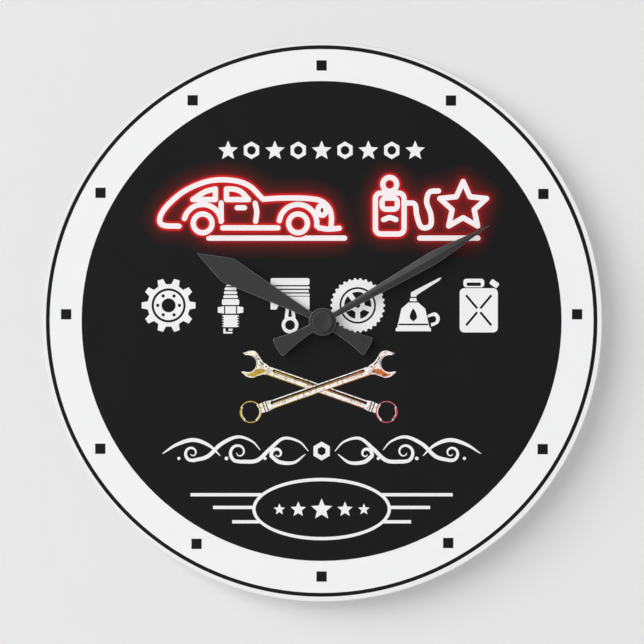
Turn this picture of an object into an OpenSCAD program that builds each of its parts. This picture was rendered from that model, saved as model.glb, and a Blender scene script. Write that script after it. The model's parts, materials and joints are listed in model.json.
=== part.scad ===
// Round wall clock with a printed acrylic dial and a one-cell quartz movement.
// +Z is up, the dial faces -Y, and the wall is the plane y = 0.
// The hands turn about the Y axis.

/* [Dial] */
// Diameter of the acrylic panel
panel_d = 273; // [200:1:300]
// Thickness of the acrylic panel
panel_t = 3; // [2:0.5:6]
// Chamfer on both rims of the panel
panel_chamfer = 0.4; // [0.1:0.1:0.8]
// Thickness of each printed layer
ink_t = 0.1; // [0.05:0.05:0.2]
// Diameter of the black printed field
field_d = 234; // [150:1:240]
// Outer diameter of the thin printed ring
ring_d = 268.6; // [255:0.2:270]
// Width of the thin printed ring
ring_w = 1.7; // [0.5:0.1:3]
// Side of each square hour mark
mark_side = 5; // [2:0.1:6]
// Distance of the hour marks from the middle
mark_r = 124.6; // [120:0.1:128]
// Sideways shift of the print on the panel
print_x = -0.5; // [-1:0.1:1]
// Upward shift of the print on the panel
print_z = 0.4; // [-1:0.1:1]

/* [Artwork] */
// Length of the line under the neon sign
neon_bar_long = 67; // [40:1:80]
// Thickness of the neon tube
neon_bar_t = 2.8; // [1:0.1:4]
// Height of the six pictograms
icon_h = 27; // [15:1:28]
// Width of each pictogram
icon_w = 22; // [10:1:24]
// Distance from one pictogram to the next
icon_step = 30.2; // [26:0.1:31]
// Length of each crossed spanner
spanner_len = 72; // [50:1:80]
// Width of the printed oval
oval_w = 67.6; // [50:0.2:80]
// Height of the printed oval
oval_h = 30.3; // [20:0.2:34]

/* [Hands] */
// Radius of the hour hand at its tip
hour_len = 69.4; // [50:0.1:80]
// Widest width of the hour hand
hour_w = 12.8; // [6:0.1:16]
// Radius of the minute hand at its tip
minute_len = 93.5; // [80:0.1:110]
// Widest width of the minute hand
minute_w = 6.4; // [4:0.1:10]
// Radius of both tails
tail_len = 25.8; // [15:0.1:30]
// Clock angle of the hour hand at rest
hour_angle = -61.4; // [-180:0.1:180]
// Clock angle of the minute hand at rest
minute_angle = 60; // [-180:0.1:180]
// Radius of the round hub of each hand
hub_r = 6.7; // [6:0.1:8]
// Radius of the cap on the hub
cap_r = 5; // [4:0.1:6]
// Thickness of the hands' sheet
hand_t = 0.6; // [0.4:0.1:0.8]
// Height of the crease along the minute hand
crease_h = 0.5; // [0.2:0.1:0.8]

/* [Movement] */
// Width and height of the movement's case
case_w = 56; // [56:1:60]
// Depth of the movement's case
case_depth = 16; // [16:0.5:18]
// Wall thickness of the case
wall = 1.2; // [1:0.1:1.4]
// Radius of the case's corners
corner_r = 4; // [2:0.5:6]
// Diameter of the battery cell
cell_d = 14.2; // [14:0.1:14.4]
// Length of the battery cell
cell_len = 50.5; // [49:0.1:50.5]
// Outer diameter of the threaded bush
bush_d = 8; // [8:0.1:9]
// Radius of the hour tube
hour_tube_r = 2.75; // [2.6:0.05:2.9]
// Radius of the minute arbor
arbor_r = 1.75; // [1.6:0.05:1.8]
// Radial clearance of each turning fit
running_gap = 0.05; // [0.02:0.01:0.1]

/* [Gears] */
// Module of the two pairs between the hands
motion_module = 0.5; // [0.5:0.01:0.5]
// Distance from the hands' axis to the third wheel
third_distance = 10.8; // [10.6:0.1:11]
// Module of the step wheel's pinion and the second wheel
second_module = 0.35; // [0.34:0.01:0.35]
// Module of the rotor's pinion and the step wheel
step_module = 0.3; // [0.29:0.01:0.3]

/* [Hanger] */
// Thickness of the hanger's sheet
hanger_t = 1; // [0.8:0.1:1.5]
// Width of the hanger
hanger_w = 24; // [20:1:30]
// Radius of the keyhole's round end
keyhole_r = 4.25; // [3.5:0.05:5]
// Width of the keyhole's slot
keyhole_slot = 4.2; // [3:0.1:4.6]
// Length of the keyhole's slot
keyhole_slot_len = 9; // [6:0.5:12]
// Height of the keyhole's round end above the hands' axis
keyhole_z = 38; // [36:1:44]

/* [Hidden] */
$fn = 96;

// Depths, from the wall at 0 towards the viewer
case_face = -case_depth;
hanger_face = case_face - hanger_t;
gasket_t = 0.8;
gasket_face = hanger_face - gasket_t;
panel_face = gasket_face - panel_t;
ink_face = panel_face - ink_t;
art_face = ink_face - ink_t;
washer_t = 0.5;
washer_face = ink_face - washer_t;
nut_t = 2;
nut_face = washer_face - nut_t;
bush_end = nut_face - 0.8;
hour_hand_back = bush_end - 1.2;
hour_tube_end = hour_hand_back - hand_t - 0.2;
minute_hand_back = hour_tube_end - 1.2;
arbor_end = minute_hand_back - hand_t - 0.6;
cap_h = 1.6;
collet_h = 0.8;

// Layers of the gear train, each the back face of a wheel
shell_floor = case_face + wall;
flange_t = 0.6;
layer_gap = 0.3;
wheel_t = 0.8;
hour_layer = shell_floor + flange_t + layer_gap + wheel_t;
motion_layer = hour_layer + layer_gap + wheel_t;
centre_layer = motion_layer + layer_gap + wheel_t;
third_layer = centre_layer + 2 * layer_gap + wheel_t;
second_layer = third_layer + 2 * layer_gap + wheel_t;
step_layer = second_layer + 2 * layer_gap + wheel_t;

// Tooth counts
cannon_teeth = 10;
motion_teeth = 30;
small_teeth = 8;
hour_teeth = 32;
knob_teeth = 15;
centre_teeth = 64;
third_teeth = 60;
second_teeth = 48;
step_teeth = 40;

// Tooth form, in modules and in parts of a tooth pitch
addendum = 0.85;
dedendum = 1.2;
root_part = 0.6;
tip_part = 0.18;

// Modules that follow from the distance between two axes
centre_module = 2 * third_distance / (centre_teeth + small_teeth);
third_module = 2 * third_distance / (third_teeth + small_teeth);

function polar(r, a) = [r * cos(a), r * sin(a)];
function mesh_distance(a, b, m) = m * (a + b) / 2;

// Angle of the second gear's tooth when the first one's tooth is at angle p
function mesh_angle(p, a, b, dir) = dir + 180 + 180 / b - (p - dir) * a / b;

// Directions from one axis to the next, seen from the dial, counter-clockwise from +X
motion_dir = 135;
knob_dir = 150;
third_dir = 60;
step_dir = 20;
rotor_dir = -10;

hands_axis = [0, 0];
motion_axis = polar(mesh_distance(cannon_teeth, motion_teeth, motion_module), motion_dir);
knob_axis = motion_axis
    + polar(mesh_distance(motion_teeth, knob_teeth, motion_module), knob_dir);
third_axis = polar(third_distance, third_dir);
step_axis = polar(mesh_distance(second_teeth, small_teeth, second_module), step_dir);
rotor_axis = step_axis
    + polar(mesh_distance(step_teeth, small_teeth, step_module), rotor_dir);

// Steel pins
pin_r = 0.5;
pin_bore = pin_r + running_gap;
boss_r = 1.4;
boss_h = 1.4;
back_floor = -wall;
third_boss_face = centre_layer - wheel_t - layer_gap;

// Case
split_y = -6;
lip_t = 0.6;
lip_h = 1;
inner_w = case_w - 2 * wall;
bay_floor_t = 0.7;
bay_h = cell_d + 1;
bay_z = -inner_w / 2 + bay_h / 2;
bay_top = -inner_w / 2 + bay_h;
bay_rib = 1;
bay_edge = 0.2;
knob_r = 7;
knob_gap = 1;
knob_back = -0.6;
knob_t = 2.8;
well_t = 1;
well_floor = knob_back - knob_t - 0.4;
knob_shaft_r = 1.2;
knob_stub_r = 0.8;
knob_flutes = 24;

// Hanger
shelf_z = 30.5;
tab_back = -1;

// Motor
stator_t = 1;
stator_back = -3.6;
stator_face = stator_back - stator_t;
stator_x = [12, 20];
stator_z = [-9, 20];
stator_arm = 4;
coil_x = 23.2;
coil_y = stator_face - stator_t / 2;
core_w = 2.4;
bobbin_r = 2.8;
bobbin_tube_r = 1.8;
winding_r = 2.5;
bobbin_z = [-4.4, 15.4];
bobbin_flange = 0.8;
magnet_r = 2.6;
magnet_t = 2.4;
magnet_back = stator_back + (magnet_t - stator_t) / 2;
magnet_face = magnet_back - magnet_t;

// Circuit and battery
board_x = [-25.5, -3];
board_z = [bay_top + bay_rib + 0.4, 3];
board_t = 1;
board_back = -3.6;
board_face = board_back - board_t;
chip_at = [-10, -4];
chip_r = 2.6;
chip_h = 1.2;
can_at = [-24, 0];
can_r = 1.5;
can_len = 8;
strip_t = 0.3;
strip_w = 8;
strip_end = inner_w / 2 - 0.1;
contact_top = bay_top + bay_rib + 2;
cell_y = -(case_depth - bay_floor_t - cell_d / 2 - 0.1);
cell_x = -strip_end + strip_t + 0.1;
nub_len = 1;
nub_r = 2.75;
label_t = 0.1;
label_inset = 0.6;
spring_r = 3;
board_posts = [[-22, -7], [-6, -7], [-22, 1]];
stator_posts = [[16, 17.5], [16, -6.5]];

// Angles of the twelve hour marks, clockwise from the top, a little uneven as printed
mark_angles = [0, 30.4, 60.2, 88.5, 120.1, 150.3, 180, 209.3, 240, 271.5, 300.1, 329.7];

// Artwork places, measured from the middle of the print
hub_clear_r = 6.4;
icon_z = 8;
neon_z = 42;
neon_h = 26;
neon_w = 156;
top_strip = [94, 8.5];
top_strip_z = 83.5;
spanner_z = -32.8;
spanner_tilt = 19.2;
scroll_z = -63;
scroll_size = [150, 12];
oval_z = -91.7;
oval_line = 1.6;
speed_lines = [[28.8, 63.9, -84.7], [33.2, 52.9, -90.9], [29.8, 43.6, -97.9]];

// A flat outline made into a sheet whose back face is at back_y
module sheet(back_y, t) {
    translate([0, back_y, 0]) rotate([90, 0, 0]) linear_extrude(t) children();
}

// A round bar between two depths
module rod(r, front_y, back_y) {
    sheet(back_y, back_y - front_y) circle(r);
}

// Moves what follows to an axis of the gear train
module at_axis(axis) {
    translate([axis[0], 0, axis[1]]) children();
}

// Moves what follows to a place on the print
module on_print(x, z) {
    translate([x + print_x, z + print_z]) children();
}

module rounded_square(w, h, r) {
    square([w - 2 * r, h], center = true);
    square([w, h - 2 * r], center = true);
    for (x = [-1, 1], z = [-1, 1]) translate([x * (w / 2 - r), z * (h / 2 - r)]) circle(r);
}

module oval(w, h) {
    polygon([for (a = [0 : 4 : 356]) [w / 2 * cos(a), h / 2 * sin(a)]]);
}

module ring(r_out, r_in) {
    difference() {
        circle(r_out);
        circle(r_in);
    }
}

// Outline of a gear with straight-sided teeth
module gear(teeth, m, angle) {
    step = 360 / teeth;
    root_r = m * (teeth / 2 - dedendum);
    tip_r = m * (teeth / 2 + addendum);
    polygon([for (i = [0 : teeth - 1], side = [-1, 1])
        each let (mid = angle + i * step,
            root = polar(root_r, mid + side * root_part * step / 2),
            tip = polar(tip_r, mid + side * tip_part * step / 2))
        side < 0 ? [root, tip] : [tip, root]]);
}

module dial_panel() {
    r = panel_d / 2;
    c = panel_chamfer;
    color("white")
    difference() {
        translate([0, gasket_face, 0]) rotate([90, 0, 0])
        rotate_extrude($fn = 180)
        polygon([[0, 0], [r - c, 0], [r, c], [r, panel_t - c], [r - c, panel_t], [0, panel_t]]);
        rod(bush_d / 2 + 0.15, panel_face - 1, gasket_face + 1);
    }
}

// The field, the thin ring and the twelve square marks
module black_print() {
    color("black")
    difference() {
        sheet(panel_face, ink_t) {
            on_print(0, 0) circle(field_d / 2, $fn = 180);
            on_print(0, 0) ring(ring_d / 2, ring_d / 2 - ring_w, $fn = 180);
            for (angle = mark_angles)
                on_print(mark_r * sin(angle), mark_r * cos(angle))
                square(mark_side, center = true);
        }
        rod(bush_d / 2 + 0.15, panel_face - 1, gasket_face + 1);
    }
}

// Strip, pictograms, scroll, oval and speed lines, as plain blocks
module white_print() {
    color("ivory")
    difference() {
        sheet(ink_face, ink_t) {
            on_print(0, top_strip_z) square(top_strip, center = true);
            for (i = [-2.5 : 2.5])
                on_print(i * icon_step, icon_z) rounded_square(icon_w, icon_h, icon_w / 4);
            on_print(0, scroll_z) square(scroll_size, center = true);
            on_print(0, oval_z) difference() {
                oval(oval_w, oval_h);
                oval(oval_w - 2 * oval_line, oval_h - 2 * oval_line);
            }
            for (line = speed_lines, side = [-1, 1])
                on_print(side * (line[0] + line[1]) / 2, line[2])
                square([line[1] - line[0], oval_line], center = true);
        }
        rod(hub_clear_r, art_face - 1, ink_face + 1);
    }
}

// The lit sign: two tubes under a pair of plain tube loops
module neon_print() {
    color("red")
    sheet(ink_face, ink_t) {
        on_print(0, neon_z - neon_h / 2) square([neon_bar_long, neon_bar_t], center = true);
        on_print(0, neon_z + 4) difference() {
            square([neon_w, neon_h - 4], center = true);
            square([neon_w - 2 * neon_bar_t, neon_h - 4 - 2 * neon_bar_t], center = true);
        }
    }
}

module spanner_outline() {
    shaft = 4;
    head = 10;
    ring_end = 11;
    square([spanner_len, shaft], center = true);
    translate([-spanner_len / 2, 0]) difference() {
        circle(head / 2);
        translate([-head / 2, 0]) square([head, head / 2.4], center = true);
    }
    translate([spanner_len / 2, 0]) ring(ring_end / 2, ring_end / 4);
}

module spanner_print() {
    color("goldenrod")
    sheet(ink_face, ink_t)
    for (side = [0, 1])
        on_print(0, spanner_z) mirror([side, 0]) rotate(-spanner_tilt) spanner_outline();
}

// A flared tail that ends in an arc about the hands' axis
module tail_outline() {
    root_w = 4;
    mid_w = 5.8;
    end_w = 10.2;
    mid_at = 16;
    intersection() {
        polygon([[-root_w / 2, 0], [-root_w / 2, -hub_r], [-mid_w / 2, -mid_at],
            [-end_w / 2, -tail_len - 1], [end_w / 2, -tail_len - 1], [mid_w / 2, -mid_at],
            [root_w / 2, -hub_r], [root_w / 2, 0]]);
        circle(tail_len);
    }
}

module blade_outline(len, w, widest_at, root_w) {
    polygon([[-root_w / 2, 0], [-root_w / 2, hub_r], [-w / 2, widest_at], [0, len],
        [w / 2, widest_at], [root_w / 2, hub_r], [root_w / 2, 0]]);
}

module hour_hand() {
    shoulder_at = 51.8;
    neck_w = 3;
    collet_r = 4.2;
    color("dimgray")
    difference() {
        union() {
            sheet(hour_hand_back, hand_t) rotate(-hour_angle) {
                blade_outline(hour_len, hour_w, shoulder_at, neck_w);
                tail_outline();
                circle(hub_r);
            }
            rod(collet_r, hour_hand_back, hour_hand_back + collet_h);
        }
        rod(hour_tube_r, hour_hand_back - hand_t - 1, hour_hand_back + collet_h + 1);
    }
}

module minute_hand() {
    widest_at = 61;
    neck_w = 2.6;
    collet_r = 3;
    crease_w = 0.1;
    color("dimgray")
    difference() {
        union() {
            rotate([0, minute_angle, 0]) hull() {
                sheet(minute_hand_back, hand_t)
                blade_outline(minute_len, minute_w, widest_at, neck_w);
                sheet(minute_hand_back, hand_t + crease_h)
                blade_outline(minute_len - 1, crease_w, widest_at, crease_w);
            }
            sheet(minute_hand_back, hand_t) rotate(-minute_angle) {
                tail_outline();
                circle(hub_r);
            }
            rod(collet_r, minute_hand_back, minute_hand_back + collet_h);
        }
        rod(arbor_r, arbor_end - 1, minute_hand_back + collet_h + 1);
        rod(cap_r, arbor_end - 1, minute_hand_back - hand_t);
    }
}

module hub_cap() {
    edge = 0.4;
    face = minute_hand_back - hand_t;
    color("black")
    translate([0, face, 0]) rotate([90, 0, 0])
    rotate_extrude()
    polygon([[arbor_r + running_gap, 0], [cap_r, 0], [cap_r, cap_h - edge],
        [cap_r - edge, cap_h], [0, cap_h], [0, cap_h - 2 * edge],
        [arbor_r + running_gap, cap_h - 2 * edge]]);
}

// Outline of the space inside the case
module inside_outline() {
    rounded_square(inner_w, inner_w, corner_r - wall);
}

// Outline of the battery bay, less an edge all round
module bay_outline(edge) {
    translate([0, bay_z]) square([inner_w - 2 * edge, bay_h - 2 * edge], center = true);
}

module case_front() {
    color("darkslategray")
    difference() {
        union() {
            difference() {
                sheet(split_y, split_y - case_face) rounded_square(case_w, case_w, corner_r);
                sheet(split_y + 1, split_y + 1 - shell_floor) inside_outline();
                sheet(split_y + 1, split_y + 1 - case_face - bay_floor_t) bay_outline(bay_edge);
            }
            sheet(split_y, split_y - shell_floor)
            translate([0, bay_top + bay_rib / 2]) square([inner_w, bay_rib], center = true);
            at_axis(motion_axis) rod(boss_r, shell_floor, shell_floor + flange_t);
            at_axis(third_axis) rod(boss_r, shell_floor, third_boss_face);
            at_axis(knob_axis) rod(boss_r + 1, shell_floor, hour_layer);
        }
        rod(bush_d / 2, case_face - 1, split_y);
        at_axis(motion_axis) rod(pin_r, shell_floor - 0.6, split_y);
        at_axis(third_axis) rod(pin_r, shell_floor - 0.6, split_y);
        at_axis(knob_axis) rod(knob_stub_r + running_gap, shell_floor, split_y);
        contact_slots(case_face, split_y + 1);
    }
}

// Room for the battery contacts in the rib above the bay
module contact_slots(front_y, back_y) {
    slot_w = strip_t + 0.4;
    for (side = [-1, 1])
        translate([side * (strip_end - strip_t / 2), 0, 0])
        intersection() {
            sheet(cell_y + strip_w / 2 + 0.1, strip_w + 0.2)
            translate([0, bay_top + bay_rib / 2]) square([slot_w, bay_rib + 1], center = true);
            sheet(back_y, back_y - front_y) square(case_w * 2, center = true);
        }
}

module case_back() {
    support_h = board_back - back_floor;
    color("darkslategray")
    difference() {
        union() {
            difference() {
                sheet(0, -split_y) rounded_square(case_w, case_w, corner_r);
                sheet(back_floor, back_floor - split_y + 1) inside_outline();
            }
            difference() {
                sheet(back_floor, back_floor - split_y + lip_h) inside_outline();
                sheet(back_floor + 1, back_floor - split_y + lip_h + 2)
                rounded_square(inner_w - 2 * lip_t, inner_w - 2 * lip_t, corner_r - wall - lip_t);
                sheet(back_floor + 1, case_depth)
                translate([-case_w / 2, contact_top + 0.3 - case_w]) square([case_w, case_w]);
            }
            sheet(back_floor, back_floor - split_y)
            translate([0, bay_top + bay_rib / 2]) square([inner_w, bay_rib], center = true);
            for (axis = [hands_axis, step_axis, rotor_axis])
                at_axis(axis) rod(boss_r, back_floor - boss_h, back_floor);
            at_axis(knob_axis) rod(knob_r + knob_gap + well_t, well_floor - well_t, back_floor);
            for (at = board_posts) at_axis(at) rod(boss_r, board_back, back_floor);
            for (at = stator_posts) at_axis(at) rod(boss_r, stator_back, back_floor);
        }
        for (axis = [hands_axis, step_axis, rotor_axis])
            at_axis(axis) rod(pin_r, split_y, back_floor + 0.6);
        at_axis(knob_axis) {
            rod(knob_r + knob_gap, well_floor, 1);
            rod(knob_shaft_r + running_gap, split_y, 1);
        }
        sheet(1, 1 - split_y + 1) bay_outline(bay_edge);
        contact_slots(split_y - 1, 0);
    }
}

module threaded_bush() {
    pitch = 0.75;
    groove = 0.3;
    thread_start = bush_end + pitch;
    turns = floor((hanger_face - thread_start) / pitch);
    color("goldenrod")
    difference() {
        union() {
            rod(bush_d / 2, bush_end, shell_floor);
            rod(bush_d / 2 + 2, shell_floor, shell_floor + flange_t);
        }
        rod(hour_tube_r + running_gap, bush_end - 1, shell_floor + flange_t + 1);
        for (i = [0 : turns])
            translate([0, thread_start + i * pitch, 0]) rotate([90, 0, 0])
            rotate_extrude()
            polygon([[bush_d / 2 - groove, 0], [bush_d / 2 + 1, -pitch], [bush_d / 2 + 1, pitch]]);
    }
}

module bush_nut() {
    nut_r = 6.3;
    color("goldenrod")
    difference() {
        sheet(washer_face, nut_t) circle(nut_r, $fn = 6);
        rod(bush_d / 2, nut_face - 1, washer_face + 1);
    }
}

module nut_washer() {
    washer_r = 6.2;
    color("silver") sheet(ink_face, washer_t) ring(washer_r, bush_d / 2 + 0.1);
}

module rubber_gasket() {
    gasket_r = 20;
    color("black") sheet(hanger_face, gasket_t) ring(gasket_r, bush_d / 2 + 0.15);
}

// Plate behind the dial and a shelf over the case that reaches back to the wall
module hanger_bracket() {
    color("silver")
    difference() {
        union() {
            sheet(case_face, hanger_t) {
                circle(hanger_w / 2);
                translate([-hanger_w / 2, 0]) square([hanger_w, shelf_z + hanger_t]);
            }
            translate([-hanger_w / 2, hanger_face, shelf_z])
            cube([hanger_w, tab_back - hanger_face, hanger_t]);
        }
        rod(bush_d / 2 + 0.1, hanger_face - 1, case_face + 1);
    }
}

// Tab that stands on the shelf's back edge, with the keyhole for the wall screw
module hanger_tab() {
    tab_low = shelf_z + hanger_t;
    tab_top = keyhole_z + keyhole_r + keyhole_slot_len;
    color("silver")
    sheet(tab_back, hanger_t) difference() {
        translate([-hanger_w / 2, tab_low]) square([hanger_w, tab_top - tab_low]);
        translate([0, keyhole_z]) {
            circle(keyhole_r);
            translate([-keyhole_slot / 2, 0]) square([keyhole_slot, keyhole_slot_len]);
            translate([0, keyhole_slot_len]) circle(keyhole_slot / 2);
        }
    }
}

module hour_wheel() {
    dir = motion_dir + 180;
    angle = mesh_angle(0, small_teeth, hour_teeth, dir);
    color("white")
    difference() {
        union() {
            sheet(hour_layer, wheel_t) gear(hour_teeth, motion_module, angle);
            rod(hour_tube_r, hour_tube_end, hour_layer);
        }
        rod(arbor_r + running_gap, hour_tube_end - 1, hour_layer + 1);
    }
}

module minute_arbor() {
    tail_end = third_layer - wheel_t - 2 * layer_gap;
    color("silver")
    difference() {
        union() {
            rod(arbor_r, arbor_end, centre_layer + layer_gap);
            sheet(motion_layer, wheel_t) gear(cannon_teeth, motion_module, 0);
        }
        rod(pin_bore, centre_layer - wheel_t, tail_end + 1);
    }
}

module centre_wheel() {
    dir = third_dir + 180;
    color("white")
    difference() {
        sheet(centre_layer, wheel_t)
        gear(centre_teeth, centre_module, mesh_angle(0, small_teeth, centre_teeth, dir));
        rod(arbor_r + running_gap, centre_layer - wheel_t - 1, centre_layer + 1);
    }
}

// A wheel with a pinion in front of it, turning on a pin
module wheel_and_pinion(layer, teeth, m, angle, pinion_m, pinion_angle, pinion_front) {
    difference() {
        union() {
            sheet(layer, wheel_t) gear(teeth, m, angle);
            sheet(layer - wheel_t, layer - wheel_t - pinion_front)
            gear(small_teeth, pinion_m, pinion_angle);
        }
        rod(pin_bore, pinion_front - 1, layer + 1);
    }
}

module motion_wheel() {
    color("white")
    at_axis(motion_axis)
    wheel_and_pinion(motion_layer, motion_teeth, motion_module,
        mesh_angle(0, cannon_teeth, motion_teeth, motion_dir),
        motion_module, 0, hour_layer - wheel_t);
}

module third_wheel() {
    color("white")
    at_axis(third_axis)
    wheel_and_pinion(third_layer, third_teeth, third_module,
        mesh_angle(0, small_teeth, third_teeth, third_dir),
        centre_module, 0, centre_layer - wheel_t);
}

module second_wheel() {
    color("white")
    wheel_and_pinion(second_layer, second_teeth, second_module,
        mesh_angle(0, small_teeth, second_teeth, step_dir + 180),
        third_module, 0, third_layer - wheel_t);
}

module step_wheel() {
    color("white")
    at_axis(step_axis)
    wheel_and_pinion(step_layer, step_teeth, step_module,
        mesh_angle(0, small_teeth, step_teeth, rotor_dir + 180),
        second_module, 0, second_layer - wheel_t);
}

module rotor_pinion() {
    color("white")
    at_axis(rotor_axis)
    difference() {
        sheet(magnet_face, magnet_face - step_layer + wheel_t) gear(small_teeth, step_module, 0);
        rod(pin_bore, step_layer - wheel_t - 1, magnet_face + 1);
    }
}

module rotor_magnet() {
    color("gray")
    at_axis(rotor_axis) sheet(magnet_back, magnet_t) ring(magnet_r, pin_bore);
}

module stator() {
    notch_r = 0.6;
    hole_r = magnet_r + 0.6;
    arm_end = coil_x + core_w / 2;
    arm_len = arm_end - stator_x[0];
    color("silver")
    sheet(stator_back, stator_t) difference() {
        union() {
            translate([stator_x[0], stator_z[0]])
            square([stator_x[1] - stator_x[0], stator_z[1] - stator_z[0]]);
            for (z = [stator_z[0], stator_z[1] - stator_arm])
                translate([stator_x[0], z]) square([arm_len, stator_arm]);
        }
        translate(rotor_axis) {
            circle(hole_r);
            for (side = [-1, 1]) rotate(45) translate([side * hole_r, 0]) circle(notch_r);
        }
    }
}

module coil_core() {
    color("silver")
    sheet(stator_face, stator_t)
    translate([coil_x - core_w / 2, stator_z[0]]) square([core_w, stator_z[1] - stator_z[0]]);
}

// A round bar along Z on the coil's axis
module coil_bar(r, low, high) {
    translate([coil_x, coil_y, low]) cylinder(r = r, h = high - low);
}

module coil_bobbin() {
    color("ivory")
    difference() {
        union() {
            coil_bar(bobbin_tube_r, bobbin_z[0], bobbin_z[1]);
            coil_bar(bobbin_r, bobbin_z[0], bobbin_z[0] + bobbin_flange);
            coil_bar(bobbin_r, bobbin_z[1] - bobbin_flange, bobbin_z[1]);
        }
        sheet(stator_face, stator_t)
        translate([coil_x - core_w / 2, stator_z[0]]) square([core_w, stator_z[1] - stator_z[0]]);
    }
}

module coil_winding() {
    color("sienna")
    difference() {
        coil_bar(winding_r, bobbin_z[0] + bobbin_flange, bobbin_z[1] - bobbin_flange);
        coil_bar(bobbin_tube_r, bobbin_z[0], bobbin_z[1]);
    }
}

module circuit_board() {
    color("darkgreen")
    sheet(board_back, board_t)
    translate([board_x[0], board_z[0]])
    square([board_x[1] - board_x[0], board_z[1] - board_z[0]]);
}

module quartz_can() {
    color("silver")
    translate([can_at[0], board_face - can_r, can_at[1]]) rotate([0, 90, 0])
    cylinder(r = can_r, h = can_len);
}

module drive_chip() {
    crown = 0.6;
    color("black")
    at_axis(chip_at) translate([0, board_face, 0]) rotate([90, 0, 0])
    rotate_extrude()
    polygon([[0, 0], [chip_r, 0], [chip_r - crown, chip_h], [0, chip_h]]);
}

// The upright end of a contact, from the battery up past the rib
module contact_blade(x) {
    low = bay_z - strip_w / 2;
    translate([x, cell_y - strip_w / 2, low]) cube([strip_t, strip_w, contact_top - low]);
}

module contact_plus() {
    tab_h = 1;
    color("silver") {
        contact_blade(-strip_end);
        translate([strip_t - strip_end, board_face, contact_top - tab_h])
        cube([board_x[0] + strip_end - strip_t, board_t, tab_h]);
    }
}

module contact_minus() {
    bump = strip_end - strip_t - cell_x - cell_len - 0.1;
    front = cell_y - strip_w / 2;
    tab_w = 2;
    arm_x = board_x[1] - tab_w;
    color("silver") {
        contact_blade(strip_end - strip_t);
        translate([strip_end - strip_t, cell_y, bay_z]) rotate([0, -90, 0])
        cylinder(r1 = spring_r, r2 = spring_r - 1, h = bump);
        translate([arm_x, front, board_z[0] - strip_t])
        cube([strip_end - arm_x, strip_w / 2, strip_t]);
        translate([arm_x, front, board_z[0] - strip_t]) cube([tab_w, board_back - front, strip_t]);
    }
}

// A round bar along X on the battery's axis
module cell_bar(r, from_x, to_x) {
    translate([from_x, cell_y, bay_z]) rotate([0, 90, 0]) cylinder(r = r, h = to_x - from_x);
}

module battery_cell() {
    color("silver") {
        cell_bar(cell_d / 2 - label_t, cell_x + nub_len, cell_x + cell_len);
        cell_bar(nub_r, cell_x, cell_x + nub_len);
    }
}

module battery_label() {
    color("black")
    difference() {
        cell_bar(cell_d / 2, cell_x + nub_len + label_inset, cell_x + cell_len - label_inset);
        cell_bar(cell_d / 2 - label_t, cell_x, cell_x + cell_len);
    }
}

module setting_knob() {
    flute_r = 0.7;
    grip_w = 2;
    grip_h = 0.8;
    knob_front = knob_back - knob_t;
    dir = knob_dir;
    wheel_angle = mesh_angle(0, cannon_teeth, motion_teeth, motion_dir);
    color("darkslategray")
    at_axis(knob_axis) {
        difference() {
            rod(knob_r, knob_front, knob_back);
            for (i = [0 : knob_flutes - 1])
                at_axis(polar(knob_r + flute_r / 2, i * 360 / knob_flutes))
                rod(flute_r, knob_front - 1, knob_back + 1);
            sheet(knob_back + 1, 1 + grip_h) difference() {
                circle(knob_r - 2);
                square([grip_w, 2 * knob_r], center = true);
            }
        }
        rod(knob_shaft_r, motion_layer, knob_front);
        rod(knob_stub_r, shell_floor + 0.3, motion_layer);
        sheet(motion_layer, wheel_t)
        gear(knob_teeth, motion_module,
            mesh_angle(wheel_angle, motion_teeth, knob_teeth, dir));
    }
}

module wheel_pins() {
    front_end = shell_floor - 0.6;
    back_end = back_floor + 0.6;
    color("silver") {
        at_axis(motion_axis) rod(pin_r, front_end, motion_layer + 0.2);
        at_axis(third_axis) rod(pin_r, front_end, third_layer + 0.2);
        rod(pin_r, centre_layer - wheel_t + 0.2, back_end);
        at_axis(step_axis) rod(pin_r, second_layer - wheel_t - 0.2, back_end);
        at_axis(rotor_axis) rod(pin_r, step_layer - wheel_t - 0.2, back_end);
    }
}

dial_panel();
black_print();
white_print();
neon_print();
spanner_print();
hour_hand();
minute_hand();
hub_cap();
case_front();
case_back();
threaded_bush();
bush_nut();
nut_washer();
rubber_gasket();
hanger_bracket();
hanger_tab();
hour_wheel();
minute_arbor();
centre_wheel();
motion_wheel();
third_wheel();
second_wheel();
step_wheel();
rotor_magnet();
rotor_pinion();
stator();
coil_core();
coil_bobbin();
coil_winding();
circuit_board();
quartz_can();
drive_chip();
contact_plus();
contact_minus();
battery_cell();
battery_label();
setting_knob();
wheel_pins();
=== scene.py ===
"""Looks of a round wall clock with a printed garage dial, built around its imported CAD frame.

Metres, +Z up, the dial faces -Y. Artwork is drawn in millimetres on the dial, from the middle of the print.
"""
import json
import math

import bpy
import bmesh
import numpy as np
from mathutils import Matrix, Vector


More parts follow.
